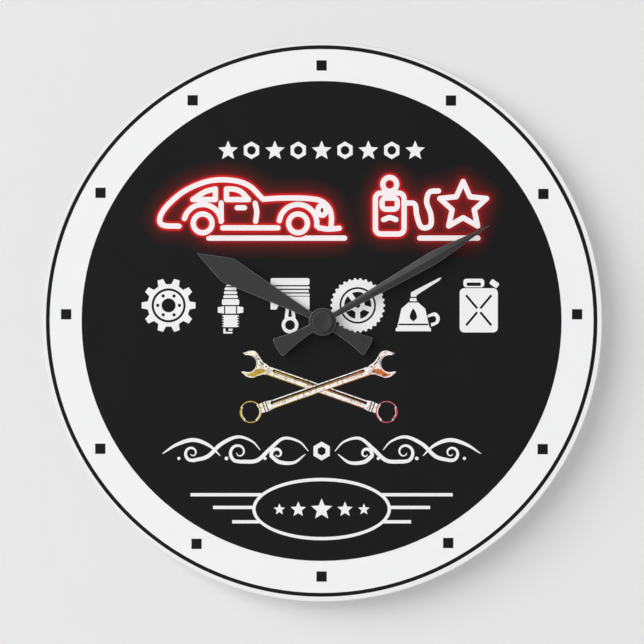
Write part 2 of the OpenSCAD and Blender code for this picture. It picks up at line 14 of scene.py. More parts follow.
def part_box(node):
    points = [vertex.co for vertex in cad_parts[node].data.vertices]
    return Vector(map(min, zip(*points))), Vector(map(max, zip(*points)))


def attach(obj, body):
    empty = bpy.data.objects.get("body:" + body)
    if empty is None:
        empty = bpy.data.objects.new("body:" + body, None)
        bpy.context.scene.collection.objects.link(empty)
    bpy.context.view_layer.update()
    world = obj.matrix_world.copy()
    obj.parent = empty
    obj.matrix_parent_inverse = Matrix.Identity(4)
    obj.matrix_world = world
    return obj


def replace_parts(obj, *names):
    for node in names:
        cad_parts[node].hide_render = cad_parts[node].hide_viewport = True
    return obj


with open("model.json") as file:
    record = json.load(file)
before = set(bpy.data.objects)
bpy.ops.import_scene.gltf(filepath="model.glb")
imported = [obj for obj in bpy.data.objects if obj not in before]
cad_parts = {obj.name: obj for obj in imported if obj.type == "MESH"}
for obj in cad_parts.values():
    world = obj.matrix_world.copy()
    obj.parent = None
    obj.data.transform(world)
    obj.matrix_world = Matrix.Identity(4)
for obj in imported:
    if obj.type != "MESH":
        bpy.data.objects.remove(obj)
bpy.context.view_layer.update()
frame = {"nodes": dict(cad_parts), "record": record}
MM = 0.001

# ---------------------------------------- places taken from the frame
NODES = frame["nodes"]
PANEL_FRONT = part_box("dial_panel")[0].y
INK_LO, INK_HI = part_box("black_print")
ART_LO, ART_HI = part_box("white_print")
PRINT_X = (INK_LO.x + INK_HI.x) / 2
PRINT_Z = (INK_LO.z + INK_HI.z) / 2
INK_R = (INK_HI.x - INK_LO.x) / 2  # outer radius of the printed ring
ART_DEPTH = ART_HI.y - ART_LO.y
LAYER = ART_DEPTH / 4  # depth of one printed layer of the artwork

# ---------------------------------------- materials
INK_SPECULAR = 0.08
BLACK = (0.0104, 0.0102, 0.0102)
RED = (0.60, 0.013, 0.015)
RIM_SHADE = 0.955  # painted shade: how light the panel's colour is outside the printed ring, against the rest of it

# Colour, roughness and what differs from the defaults of surface().
FINISHES = {
    "white_acrylic": dict(colour=(0.908, 0.908, 0.916), rough=0.18, tint=0.002, rough_spread=0.01,
                          grain=(140.0, 0.01, 0.000004)),
    "black_ink": dict(colour=BLACK, rough=0.47, specular=INK_SPECULAR, tint=0.05, tint_scale=35.0),
    "white_ink": dict(colour=(0.865, 0.862, 0.862), rough=0.45, specular=INK_SPECULAR, tint=0.01),
    "neon_core": dict(colour=(0.93, 0.86, 0.87), rough=0.4, specular=INK_SPECULAR, tint=0.015),
    "neon_ink": dict(colour=RED, rough=0.42, specular=INK_SPECULAR, tint=0.06),
    "gold_ink": dict(colour=(0.52, 0.33, 0.10), rough=0.4, specular=INK_SPECULAR, tint=0.2),
    "hand_black": dict(colour=(0.029, 0.029, 0.030), rough=0.42, specular=0.35, tint=0.08,
                       grain=(1500.0, 0.2, 0.00002)),
    "ridge_black": dict(colour=(0.028, 0.028, 0.029), rough=0.30, specular=0.47, tint=0.08,
                        grain=(1500.0, 0.2, 0.00002)),
    # painted highlight: a lighter grey for the bevelled edges of the hands and the cap, where they catch the
    # light
    "hand_edge_highlight": dict(colour=(0.24, 0.24, 0.24), rough=0.35, metal=0.3, tint=0.15),
    "case_plastic": dict(colour=(0.034, 0.034, 0.036), rough=0.48, tint=0.12,
                         grain=(2600.0, 0.5, 0.00005), soft_edge=0.0004),
    "knob_plastic": dict(colour=(0.055, 0.055, 0.058), rough=0.4, tint=0.1,
                         grain=(2600.0, 0.3, 0.00003), soft_edge=0.0003),
    "mark_paint": dict(colour=(0.62, 0.62, 0.61), rough=0.6, tint=0.08),
    "brass": dict(colour=(0.72, 0.50, 0.20), rough=0.3, metal=1.0, tint=0.08, stretch=(1, 8, 1)),
    "steel": dict(colour=(0.62, 0.62, 0.63), rough=0.38, metal=1.0, tint=0.06, stretch=(1, 1, 14),
                  grain=(700.0, 0.25, 0.00003), soft_edge=0.0002),
    "gasket_rubber": dict(colour=(0.02, 0.02, 0.02), rough=0.8, tint=0.15),
    "wheel_plastic": dict(colour=(0.80, 0.79, 0.73), rough=0.4, tint=0.03),
    "magnet": dict(colour=(0.16, 0.16, 0.17), rough=0.5, metal=0.6),
    "bobbin_plastic": dict(colour=(0.72, 0.66, 0.48), rough=0.5, tint=0.05),
    "copper_wire": dict(colour=(0.62, 0.20, 0.07), rough=0.3, metal=1.0, stretch=(1, 1, 40)),
    "board": dict(colour=(0.02, 0.13, 0.055), rough=0.35, tint=0.15, tint_scale=200.0),
    "chip_resin": dict(colour=(0.012, 0.012, 0.012), rough=0.25),
    "contact_metal": dict(colour=(0.66, 0.65, 0.62), rough=0.25, metal=1.0, tint=0.05),
    "cell_metal": dict(colour=(0.62, 0.61, 0.60), rough=0.28, metal=1.0, tint=0.05, stretch=(6, 1, 1)),
    "label_film": dict(colour=(0.030, 0.075, 0.14), rough=0.25, tint=0.08),
    "label_pale": dict(colour=(0.72, 0.73, 0.74), rough=0.3, metal=0.5, tint=0.05),
    "nylon": dict(colour=(0.60, 0.12, 0.05), rough=0.5, tint=0.08),
}

# Inks of the spanners, from the left of the dial to the right.
PALE = [(0.0, (0.93, 0.89, 0.72)), (0.4, (0.93, 0.90, 0.85)), (0.7, (0.93, 0.88, 0.85)),
        (1.0, (0.93, 0.78, 0.75))]
GOLD_TO_BROWN = [(0.0, (0.62, 0.43, 0.05)), (0.35, (0.42, 0.27, 0.04)), (0.65, (0.50, 0.18, 0.05))]
TO_CRIMSON = GOLD_TO_BROWN + [(0.82, (0.58, 0.085, 0.12))]
TO_COPPER = GOLD_TO_BROWN + [(0.82, (0.66, 0.20, 0.07))]
FLECKS = [(0.50, (1, 1, 1)), (0.58, (0.72, 0.69, 0.66)), (0.67, (0.26, 0.24, 0.23))]
SPANNER_REACH = 0.042  # how far the inks change to each side of the print's middle


def new_material(name):
    mat = bpy.data.materials.new(name)
    mat.use_nodes = True
    nodes, links = mat.node_tree.nodes, mat.node_tree.links
    return mat, nodes, links, nodes["Principled BSDF"]


def mapped_coords(nodes, links, stretch=(1, 1, 1)):
    coords = nodes.new("ShaderNodeTexCoord")
    mapping = nodes.new("ShaderNodeMapping")
    mapping.inputs["Scale"].default_value = stretch
    links.new(coords.outputs["Object"], mapping.inputs["Vector"])
    return mapping.outputs["Vector"]


def noise(nodes, links, vector, scale, detail=3.0, roughness=0.5):
    tex = nodes.new("ShaderNodeTexNoise")
    tex.inputs["Scale"].default_value = scale
    tex.inputs["Detail"].default_value = detail
    tex.inputs["Roughness"].default_value = roughness
    links.new(vector, tex.inputs["Vector"])
    return tex.outputs["Fac"]


def ramp(nodes, links, fac, stops):
    node = nodes.new("ShaderNodeValToRGB")
    elements = node.color_ramp.elements
    while len(elements) < len(stops):
        elements.new(0.5)
    for element, (position, colour) in zip(elements, stops):
        element.position = position
        element.color = (*colour, 1.0)
    links.new(fac, node.inputs["Fac"])
    return node.outputs["Color"]


def spread(nodes, links, value, low, high, start=0.0, end=1.0):
    """A value that runs from start to end, laid out from low to high."""
    node = nodes.new("ShaderNodeMapRange")
    node.inputs["From Min"].default_value = start
    node.inputs["From Max"].default_value = end
    node.inputs["To Min"].default_value = low
    node.inputs["To Max"].default_value = high
    links.new(value, node.inputs["Value"])
    return node.outputs["Result"]


def multiply(nodes, links, colour):
    """A node that multiplies colour by its input B, as far as its Factor says."""
    mix = nodes.new("ShaderNodeMix")
    mix.data_type = "RGBA"
    mix.blend_type = "MULTIPLY"
    links.new(colour, mix.inputs["A"])
    return mix


def bump(nodes, links, height, strength, distance):
    node = nodes.new("ShaderNodeBump")
    node.inputs["Strength"].default_value = strength
    node.inputs["Distance"].default_value = distance
    links.new(height, node.inputs["Height"])
    return node


def surface(name, colour, rough, metal=0.0, specular=0.5, tint=0.1, tint_scale=60.0, rough_spread=0.06,
            grain=(900.0, 0.15, 0.00003), stretch=(1, 1, 1), soft_edge=0.0):
    """A material whose colour, roughness and relief vary a little, with edges rounded to soft_edge metres.

    grain is the scale, strength and height of the relief.
    """
    mat, nodes, links, shader = new_material(name)
    vector = mapped_coords(nodes, links, stretch)
    cloud = noise(nodes, links, vector, tint_scale)
    dark = tuple(c * (1 - tint) for c in colour)
    light = tuple(min(1.0, c * (1 + tint)) for c in colour)
    links.new(ramp(nodes, links, cloud, [(0.3, dark), (0.7, light)]), shader.inputs["Base Color"])
    scale, strength, height = grain
    fine = noise(nodes, links, vector, scale, detail=2.0)
    varied = spread(nodes, links, fine, rough - rough_spread, rough + rough_spread)
    links.new(varied, shader.inputs["Roughness"])
    relief = bump(nodes, links, fine, strength, height)
    links.new(relief.outputs["Normal"], shader.inputs["Normal"])
    if soft_edge:
        edge = nodes.new("ShaderNodeBevel")
        edge.samples = 6
        edge.inputs["Radius"].default_value = soft_edge
        links.new(edge.outputs["Normal"], relief.inputs["Normal"])
    shader.inputs["Metallic"].default_value = metal
    shader.inputs["Specular IOR Level"].default_value = specular
    return mat


def glow_material(name, attribute):
    """Black ink that turns to red by the piece's own glow attribute."""
    mat, nodes, links, shader = new_material(name)
    glow = nodes.new("ShaderNodeAttribute")
    glow.attribute_name = attribute
    colour = ramp(nodes, links, glow.outputs["Fac"], [(0.0, BLACK), (1.0, RED)])
    links.new(colour, shader.inputs["Base Color"])
    fine = noise(nodes, links, mapped_coords(nodes, links), 900.0, detail=2.0)
    links.new(spread(nodes, links, fine, 0.42, 0.52), shader.inputs["Roughness"])
    shader.inputs["Specular IOR Level"].default_value = INK_SPECULAR
    return mat


def spanner_material(name, stops):
    """Ink that changes colour across the dial, with dark flecks as on worn chrome."""
    mat, nodes, links, shader = new_material(name)
    coords = nodes.new("ShaderNodeTexCoord")
    split = nodes.new("ShaderNodeSeparateXYZ")
    links.new(coords.outputs["Object"], split.inputs["Vector"])
    left, right = PRINT_X - SPANNER_REACH, PRINT_X + SPANNER_REACH
    across = spread(nodes, links, split.outputs["X"], 0.0, 1.0, left, right)
    mix = multiply(nodes, links, ramp(nodes, links, across, stops))
    mix.inputs["Factor"].default_value = 1.0
    fleck = noise(nodes, links, mapped_coords(nodes, links), 650.0, detail=4.0, roughness=0.7)
    links.new(ramp(nodes, links, fleck, FLECKS), mix.inputs["B"])
    links.new(mix.outputs["Result"], shader.inputs["Base Color"])
    shader.inputs["Roughness"].default_value = 0.42
    shader.inputs["Specular IOR Level"].default_value = INK_SPECULAR
    return mat


def shade_rim(mat, start, width, shade):
    """Paints shade into a disc's colour outside radius start, where light is lost through its clear edge."""
    nodes, links = mat.node_tree.nodes, mat.node_tree.links
    coords = nodes.new("ShaderNodeTexCoord")
    level = nodes.new("ShaderNodeVectorMath")
    level.operation = "MULTIPLY"
    level.inputs[1].default_value = (1, 0, 1)
    links.new(coords.outputs["Object"], level.inputs[0])
    reach = nodes.new("ShaderNodeVectorMath")
    reach.operation = "LENGTH"
    links.new(level.outputs["Vector"], reach.inputs[0])
    target = nodes["Principled BSDF"].inputs["Base Color"]
    mix = multiply(nodes, links, target.links[0].from_socket)
    mix.inputs["B"].default_value = (shade, shade, shade, 1)
    outside = spread(nodes, links, reach.outputs["Value"], 0.0, 1.0, start, start + width)
    links.new(outside, mix.inputs["Factor"])
    links.new(mix.outputs["Result"], target)


MATERIALS = {name: surface(name, **finish) for name, finish in FINISHES.items()}
MATERIALS["neon_glow"] = glow_material("neon_glow", "glow")
for ink, ink_stops in (("spanner_pale", PALE), ("rich_left", TO_CRIMSON), ("rich_right", TO_COPPER)):
    MATERIALS[ink] = spanner_material(ink, ink_stops)


# ---------------------------------------- drawing in millimetres on the dial
def around(cx, cz, r, degrees):
    """The point at radius r and an angle round (cx, cz), anticlockwise from +X."""
    a = math.radians(degrees)
    return (cx + r * math.cos(a), cz + r * math.sin(a))


def direction(point):
    """The angle of a point round the origin, in degrees."""
    return math.degrees(math.atan2(point[1], point[0]))


def arc(cx, cz, r, start, end, step=7.5):
    count = max(2, int(abs(end - start) / step) + 1)
    return [around(cx, cz, r, a) for a in np.linspace(start, end, count)]


def arc_band(cx, cz, outer, inner, start, end, step=8):
    """A bent strip between two radii."""
    return arc(cx, cz, outer, start, end, step) + arc(cx, cz, inner, end, start, step)


def circle(cx, cz, r, count=48):
    return [around(cx, cz, r, 360 * i / count) for i in range(count)]


def rectangle(cx, cz, w, h):
    left, right, low, top = cx - w / 2, cx + w / 2, cz - h / 2, cz + h / 2
    return [(left, low), (right, low), (right, top), (left, top)]


def rounded(cx, cz, w, h, r):
    points = []
    for sx, sz, start in ((1, 1, 0), (-1, 1, 90), (-1, -1, 180), (1, -1, 270)):
        points += arc(cx + sx * (w / 2 - r), cz + sz * (h / 2 - r), r, start, start + 90, 22.5)
    return points


def star(cx, cz, r, inner=0.45):
    return [around(cx, cz, r if i % 2 == 0 else r * inner, 90 + 36 * i) for i in range(10)]


def hexagon(cx, cz, r):
    return [around(cx, cz, r, 30 + 60 * i) for i in range(6)]


def oval_loop(cx, cz, a, b, count=36):
    return [(cx + a * math.cos(t), cz + b * math.sin(t))
            for t in np.linspace(0, 2 * math.pi, count + 1)[:-1]]


def spiral(cx, cz, start_r, end_r, start, end, count=40):
    return [around(cx, cz, start_r + (end_r - start_r) * t, start + (end - start) * t)
            for t in np.linspace(0, 1, count)]


def toothed(tip, root, teeth):
    """A disc round the origin with square teeth."""
    pitch = 360 / teeth
    tooth = ((root, -0.30), (tip, -0.17), (tip, 0.17), (root, 0.30))
    return [around(0, 0, r, (i + part) * pitch) for i in range(teeth) for r, part in tooth]


def profile(rows):
    """A shape that is the same on both sides of x = 0, from (half width, z) rows, top to bottom."""
    return [(-w, z) for w, z in rows] + [(w, z) for w, z in reversed(rows)]


def smooth(points, per_span=8):
    """A soft line through given points (Catmull-Rom)."""
    p = [np.array(q, float) for q in points]
    p = [2 * p[0] - p[1]] + p + [2 * p[-1] - p[-2]]
    line = []
    for a, b, c, d in zip(p, p[1:], p[2:], p[3:]):
        for t in np.linspace(0, 1, per_span, endpoint=False):
            line.append(tuple(0.5 * (2 * b + (c - a) * t + (2 * a - 5 * b + 4 * c - d) * t ** 2
                                     + (3 * b - a - 3 * c + d) * t ** 3)))
    return line + [tuple(p[-2])]


def moved(loop, dx, dz, turn=0.0):
    """The loop turned anticlockwise round the origin, in degrees, and then moved."""
    cos, sin = math.cos(math.radians(turn)), math.sin(math.radians(turn))
    return [(dx + x * cos - z * sin, dz + x * sin + z * cos) for x, z in loop]


def mirrored(loop):
    return [(-x, z) for x, z in reversed(loop)]


def resampled(points, step):
    """The same line with points every step mm."""
    p = np.array(points, float)
    lengths = np.hypot(*(p[1:] - p[:-1]).T)
    along = np.concatenate([[0], np.cumsum(lengths)])
    count = max(2, int(along[-1] / step) + 1)
    s = np.linspace(0, along[-1], count)
    return np.stack([np.interp(s, along, p[:, 0]), np.interp(s, along, p[:, 1])], axis=1)


# ---------------------------------------- pieces from outlines
CREEP = 2e-6  # how much deeper each band of a piece lies than the last, so that crossings stay clean
WELD = 1e-6
SEGMENTS = 96  # of a turned piece


def dressed(obj, body, mat):
    """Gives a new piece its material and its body."""
    obj.data.materials.clear()
    obj.data.materials.append(MATERIALS[mat])
    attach(obj, body)
    return obj


def new_object(name, mesh):
    obj = bpy.data.objects.new(name, mesh)
    bpy.context.scene.collection.objects.link(obj)
    return obj


def mesh_object(name, vertices, faces):
    mesh = bpy.data.meshes.new(name)
    mesh.from_pydata([tuple(v) for v in vertices], [], faces)
    mesh.update()
    return new_object(name, mesh)


def clean_mesh(mesh, weld=0.0):
    """Joins points closer than weld, and turns all faces outwards."""
    bm = bmesh.new()
    bm.from_mesh(mesh)
    if weld:
        bmesh.ops.remove_doubles(bm, verts=bm.verts, dist=weld)
    bmesh.ops.recalc_face_normals(bm, faces=bm.faces)
    bm.to_mesh(mesh)
    bm.free()


def flat_piece(name, loops, front, thickness, offset=(0.0, 0.0), bevel=0.0):
    """A sheet cut to closed loops (even-odd), in mm from offset, with its face at y = front."""
    curve = bpy.data.curves.new(name, "CURVE")
    curve.dimensions = "2D"
    curve.fill_mode = "BOTH"
    curve.extrude = thickness / 2 - bevel
    curve.bevel_depth = bevel
    curve.bevel_resolution = 1
    curve.offset = -bevel
    for loop in loops:
        spline = curve.splines.new("POLY")
        spline.points.add(len(loop) - 1)
        for point, (x, z) in zip(spline.points, loop):
            point.co = (x * MM, z * MM, 0, 1)
        spline.use_cyclic_u = True
    holder = new_object(name + "_curve", curve)
    bpy.context.view_layer.update()
    mesh = bpy.data.meshes.new_from_object(holder.evaluated_get(bpy.context.evaluated_depsgraph_get()))
    bpy.data.objects.remove(holder)
    bpy.data.curves.remove(curve)
    mesh.name = name
    for v in mesh.vertices:
        x, z, depth = v.co
        v.co = (x + offset[0], front + thickness / 2 - depth, z + offset[1])
    clean_mesh(mesh, WELD)
    return new_object(name, mesh)


def dial_print(name, loops, mat="white_ink", layer=0):
    """A printed shape on the dial. layer 0 is the outermost of four."""
    depth = layer * LAYER
    sheet = flat_piece(name, loops, ART_LO.y + depth, ART_DEPTH - depth, (PRINT_X, PRINT_Z))
    return dressed(sheet, "dial", mat)


def round_end(centre, along, radius):
    """Points of the half circle that closes a band's end, where along points out of the band."""
    return [around(*centre, radius, direction(along) + a) for a in (60, 30, 0, -30, -60)]


def band_geometry(points, width, closed):
    """Vertices and faces of a band one unit deep. width is a number or a function of 0..1 along it."""
    p = np.array(points, float)
    tangent = np.roll(p, -1, axis=0) - np.roll(p, 1, axis=0) if closed else np.gradient(p, axis=0)
    tangent /= np.maximum(np.hypot(*tangent.T), 1e-9)[:, None]
    normal = np.stack([-tangent[:, 1], tangent[:, 0]], axis=1)
    half = np.array([(width(t) if callable(width) else width) / 2 for t in np.linspace(0, 1, len(p))])
    edges = (p + normal * half[:, None], p - normal * half[:, None])
    vertices = [(x, side, z) for side in (0.0, 1.0) for edge in edges for x, z in edge]
    faces = []
    n = len(p)
    for i in range(n if closed else n - 1):
        j = (i + 1) % n
        faces += [(i, j, n + j, n + i), (2 * n + i, 3 * n + i, 3 * n + j, 2 * n + j),
                  (i, 2 * n + i, 2 * n + j, j), (n + i, n + j, 3 * n + j, 3 * n + i)]
    if closed:
        return vertices, faces
    for i, along, first, last in ((-1, tangent[-1], n - 1, 2 * n - 1), (0, -tangent[0], n, 0)):
        fan = round_end(p[i], along, half[i])
        start, k = len(vertices), len(fan)
        vertices += [(x, side, z) for side in (0.0, 1.0) for x, z in fan]
        front = [first, *range(start, start + k), last]
        back = [first + 2 * n, *range(start + k, start + 2 * k), last + 2 * n]
        faces += [tuple(front), tuple(reversed(back))]
        faces += [(a, c, d, b) for a, b, c, d in zip(front, front[1:], back, back[1:])]
    return vertices, faces


def bands(name, lines, width, front, thickness):
    """One piece made of several bands, from (points, whether they close) lines."""
    all_vertices, all_faces = [], []
    for i, (points, closed) in enumerate(lines):
        vertices, faces = band_geometry(points, width, closed)
        base = len(all_vertices)
        all_vertices += [(x * MM + PRINT_X, front + i * CREEP + y * thickness, z * MM + PRINT_Z)
                         for x, y, z in vertices]
        all_faces += [tuple(base + k for k in face) for face in faces]
    obj = mesh_object(name, all_vertices, all_faces)
    clean_mesh(obj.data)
    return obj


def lathe(name, outline, centre=(0.0, 0.0), axis="Y"):
    """A turned piece from (radius, place along the axis) rows in metres, from one end to the other."""
    vertices, faces, rings = [], [], []
    for r, along in outline:
        ring = []
        for i in range(1 if r < 1e-9 else SEGMENTS):
            u, z = around(*centre, r, 360 * i / SEGMENTS)
            ring.append(len(vertices))
            vertices.append((u, along, z) if axis == "Y" else (along, u, z))
        rings.append(ring)
    for low, high in zip(rings, rings[1:]):
        for i in range(SEGMENTS):
            j = (i + 1) % SEGMENTS
            quad = [low[i % len(low)], low[j % len(low)], high[j % len(high)], high[i % len(high)]]
            face = [v for k, v in enumerate(quad) if v not in quad[:k]]
            if len(face) > 2:
                faces.append(tuple(face))
    obj = mesh_object(name, vertices, faces)
    clean_mesh(obj.data)
    obj.data.polygons.foreach_set("use_smooth", [True] * len(obj.data.polygons))
    return obj


# ---------------------------------------- neon sign: a coupe, a fuel pump and a star
TUBE = 2.6
TUBE_RIM = 4.6
TUBE_STEP = 0.9
GLOW_NEAR = 0.25  # glow right beside a tube's rim
GLOW_EDGE = 0.5  # mm over which that part fades
GLOW_WIDE = 0.010  # glow that each sample of a tube adds around it
GLOW_REACH = 6.2  # mm over which that part fades
GLOW_LEAST = 0.012  # the halo ends where the glow is weaker
GLOW_SAMPLE = 0.8
HALO_STEP = 0.6
HALO_MARGIN = 14.0
FIELD_R = INK_R / MM - 20.0  # no glow outside this radius
HALO_BLOCK = 2000  # grid points worked out at a time


def even_line(points, closed):
    """An evenly stepped line and whether it closes. A loop's last point isn't its first again."""
    line = resampled(points + points[:1] if closed else points, TUBE_STEP)
    return (line[:-1] if closed else line), closed


def coupe_lines():
    """Centre lines of the car's tubes: loops, then strokes."""
    ground = 47.6
    rear_x, front_x = -58.0, -11.5
    arch_r = 9.2
    sill_z = ground - 2.2
    wheels = [arc(x, ground, 4.6, 0, 352, 8) for x in (rear_x, front_x)]
    headlamp = oval_loop(0.2, 54.0, 2.0, 2.5)
    arches = [arc(front_x, ground, arch_r, -8, 172, 9), arc(rear_x, ground, arch_r, 8, 165, 9)]
    sill = [(front_x - arch_r - 0.6, sill_z), (rear_x + arch_r + 0.6, sill_z)]
    roof = smooth([(-69.5, 46.2), (-77.5, 46.8), (-78.8, 50.5), (-75.0, 56.5), (-66.5, 63.6), (-55.0, 68.2),
                   (-44.0, 68.6), (-35.5, 66.0), (-28.6, 59.4)])
    bonnet = smooth([(-28.6, 59.4), (-19.0, 59.9), (-8.0, 59.8), (-0.5, 58.6), (3.6, 55.0), (4.8, 50.6),
                     (4.6, 46.4)])
    bumper = smooth([(-1.2, 45.4), (3.0, 44.8), (8.6, 45.2)])
    side_window = [smooth([(-35.6, 59.2), (-39.0, 62.8), (-42.4, 64.2), (-46.4, 64.4)]),
                   [(-46.4, 64.4), (-46.4, 59.2)],
                   [(-46.4, 59.2), (-35.6, 59.2)]]
    rear_window = [smooth([(-51.8, 64.4), (-57.0, 62.9), (-62.8, 59.2)]),
                   [(-51.8, 64.4), (-51.8, 59.2)],
                   [(-51.8, 59.2), (-62.8, 59.2)]]
    door = [[(-49.0, 57.6), (-49.0, 48.6)],
            smooth([(-32.4, 57.4), (-31.6, 53.0), (-32.2, 48.6)]),
            [(-41.2, 55.2), (-37.6, 55.2)]]
    return wheels + [headlamp], [*arches, sill, roof, bonnet, bumper, *side_window, *rear_window, *door]


def pump_lines():
    """Centre lines of the fuel pump, the star beside it and the ground: loops, then strokes."""
    body = rounded(33.2, 52.4, 14.0, 20.0, 2.6)
    screen = rounded(33.2, 57.2, 7.4, 5.4, 1.6)
    globe = arc(33.2, 66.6, 3.4, 0, 348, 12)
    gauge = smooth([(30.2, 49.4), (33.2, 50.4), (36.2, 49.4)])
    hose = smooth([(40.8, 57.5), (45.4, 57.0), (46.4, 51.5), (48.6, 45.8), (53.0, 46.4), (53.2, 52.0),
                   (51.2, 58.0), (52.6, 62.8), (57.0, 63.4)])
    tips = star(69.0, 56.0, 12.0, inner=0.47)
    star_sides = [[a, b] for a, b in zip(tips, tips[1:] + tips[:1])]
    ground = [[(-55.0, 40.4), (11.2, 40.4)], [(47.8, 40.4), (76.2, 40.4)]]
    return [body, screen, globe], [gauge, hose, *star_sides, *ground]


def neon_sign():
    car_loops, car_strokes = coupe_lines()
    pump_loops, pump_strokes = pump_lines()
    lines = [even_line(points, True) for points in car_loops + pump_loops]
    lines += [even_line(points, False) for points in car_strokes + pump_strokes]
    core = bands("neon_tubes", lines, TUBE, ART_LO.y, LAYER)
    dressed(core, "dial", "neon_core")
    rim = bands("neon_rims", lines, TUBE_RIM, ART_LO.y + 1.6 * LAYER, LAYER)
    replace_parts(dressed(rim, "dial", "neon_ink"), "neon_print")
    neon_halo(lines)


def glow_at(flat, samples):
    """How strongly samples of the tubes glow at the points of flat."""
    glow = np.zeros(len(flat))
    for start in range(0, len(flat), HALO_BLOCK):
        part = flat[start:start + HALO_BLOCK]
        d2 = ((part[:, None, :] - samples[None, :, :]) ** 2).sum(axis=2)
        beside = np.clip(np.sqrt(d2.min(axis=1)) - TUBE_RIM / 2, 0, None)
        wide = np.exp(-d2 / GLOW_REACH ** 2).sum(axis=1)
        glow[start:start + HALO_BLOCK] = GLOW_NEAR * np.exp(-beside / GLOW_EDGE) + GLOW_WIDE * wide
    return np.where(np.hypot(flat[:, 0], flat[:, 1]) < FIELD_R, glow, 0.0)


def neon_halo(lines):
    """A sheet on the black field that carries the tubes' glow, as far as it reaches."""
    samples = np.concatenate([resampled(points, GLOW_SAMPLE) for points, _ in lines])
    low, high = samples.min(axis=0) - HALO_MARGIN, samples.max(axis=0) + HALO_MARGIN
    grid_x, grid_z = np.meshgrid(*(np.arange(a, b, HALO_STEP) for a, b in zip(low, high)))
    flat = np.stack([grid_x.ravel(), grid_z.ravel()], axis=1)
    glow = glow_at(flat, samples)
    rows, columns = grid_x.shape
    corner = np.arange(rows * columns).reshape(rows, columns)[:-1, :-1].ravel()
    quads = np.stack([corner, corner + 1, corner + columns + 1, corner + columns], axis=1)
    quads = quads[(glow > GLOW_LEAST)[quads].any(axis=1)]
    used, quads = np.unique(quads, return_inverse=True)
    points = [(x * MM + PRINT_X, ART_LO.y + 3.0 * LAYER, z * MM + PRINT_Z) for x, z in flat[used]]
    halo = mesh_object("neon_halo", points, quads.reshape(-1, 4).tolist())
    attribute = halo.data.attributes.new("glow", "FLOAT", "POINT")
    attribute.data.foreach_set("value", np.clip(glow[used], 0, 1).astype(np.float32))
    dressed(halo, "dial", "neon_glow")


# ---------------------------------------- six workshop pictograms
def icon_gear():
    bolts = [circle(*around(0, 0, 5.3, 60 * i), 0.8, 16) for i in range(6)]
    return [toothed(13.2, 10.4, 10), circle(0, 0, 8.3), circle(0, 0, 7.2), circle(0, 0, 3.4), *bolts]


def icon_spark_plug():
    terminal = profile([(1.5, 13.4), (2.0, 12.8), (2.0, 11.4), (1.2, 10.9), (1.2, 10.2), (2.3, 9.7),
                        (2.3, 9.4)])
    ribs = []
    for i in range(3):
        half, top = 2.5 + 0.3 * i, 8.8 - 1.9 * i
        ribs.append(profile([(half, top), (half + 0.5, top - 0.7), (half + 0.2, top - 1.4)]))
    collar = profile([(3.6, 3.1), (4.2, 2.5), (4.2, 0.6), (3.9, 0.2)])
    nut = [rectangle(0, -2.2, 5.2, 3.6)]
    for side in (-1, 1):
        nut.append([(side * 3.2, -0.4), (side * 6.2, -0.9), (side * 6.2, -3.5), (side * 3.2, -4.0)])
    thread = []
    for i in range(5):
        top = -4.7 - 1.25 * i
        thread += [(3.2, top), (4.3, top - 0.4), (3.2, top - 0.9)]
    tip = [(-1.0, -11.4), (1.0, -11.4), (1.0, -12.3), (-1.0, -12.3)]
    strap = [(-3.5, -11.3), (-2.5, -11.3), (-2.5, -12.9), (0.9, -12.9), (0.9, -13.7), (-3.5, -13.7)]
    return [terminal, *ribs, collar, *nut, profile(thread), tip, strap]


def icon_piston():
    crown = rounded(0, 11.6, 19.0, 3.4, 0.9)
    rings = [rectangle(0, 8.7 - 1.75 * i, 18.2 if i % 2 else 19.0, 1.1) for i in range(3)]
    skirt = [(-9.5, 4.3), (-9.5, -2.0), (-6.6, -2.0), (-5.4, 0.4), (5.4, 0.4), (6.6, -2.0), (9.5, -2.0),
             (9.5, 4.3)]
    pin = circle(0, 2.3, 1.35, 24)
    rod = [(-2.0, -0.4), (-2.7, -6.4)] + arc(0, -9.6, 4.1, 130, 410, 14) + [(2.7, -6.4), (2.0, -0.4)]
    big_end = circle(0, -9.6, 2.4, 28)
    web = [(-0.5, -1.6), (-0.9, -5.6), (0.9, -5.6), (0.5, -1.6)]
    return [crown, *rings, skirt, pin, rod, big_end, web]


def icon_wheel():
    holes = []
    for i in range(5):
        mid = 90 + 72 * i
        holes.append(arc(0, 0, 6.6, mid - 25, mid + 25, 8) + arc(0, 0, 3.4, mid + 17, mid - 17, 8))
    return [toothed(13.3, 12.5, 30), circle(0, 0, 8.9), circle(0, 0, 8.0), *holes, circle(0, 0, 1.2, 20)]


def icon_oil_can():
    can = [(-9.8, -12.6), (7.4, -12.6), (7.4, -11.2), (6.6, -10.6), (4.6, -1.6), (1.2, 1.4), (-3.6, 1.4),
           (-7.0, -1.6), (-9.0, -10.6), (-9.8, -11.2)]
    neck = [(-2.9, 2.0), (0.5, 2.0), (0.3, 3.6), (-2.7, 3.6)]
    spout = [(-2.4, 4.2), (0.2, 4.2), (0.4, 5.0), (11.6, 12.2), (12.6, 13.6), (11.4, 13.4), (-0.4, 7.4),
             (-2.4, 6.2)]
    handle = (smooth([(5.9, -4.6), (9.4, -3.4), (11.6, -5.6), (11.0, -8.6), (7.6, -10.4)], 6)
              + smooth([(7.3, -8.7), (9.4, -8.0), (9.9, -6.2), (8.6, -5.2), (5.6, -6.0)], 6))
    groove = [(-8.4, -9.7), (6.0, -9.7), (6.2, -8.9), (-8.2, -8.9)]
    drop = smooth([(-1.2, -7.9), (-3.0, -5.6), (-1.2, -1.6), (0.6, -5.6), (-1.2, -7.9)], 6)[:-1]
    return [can, neck, spout, handle, groove, drop]


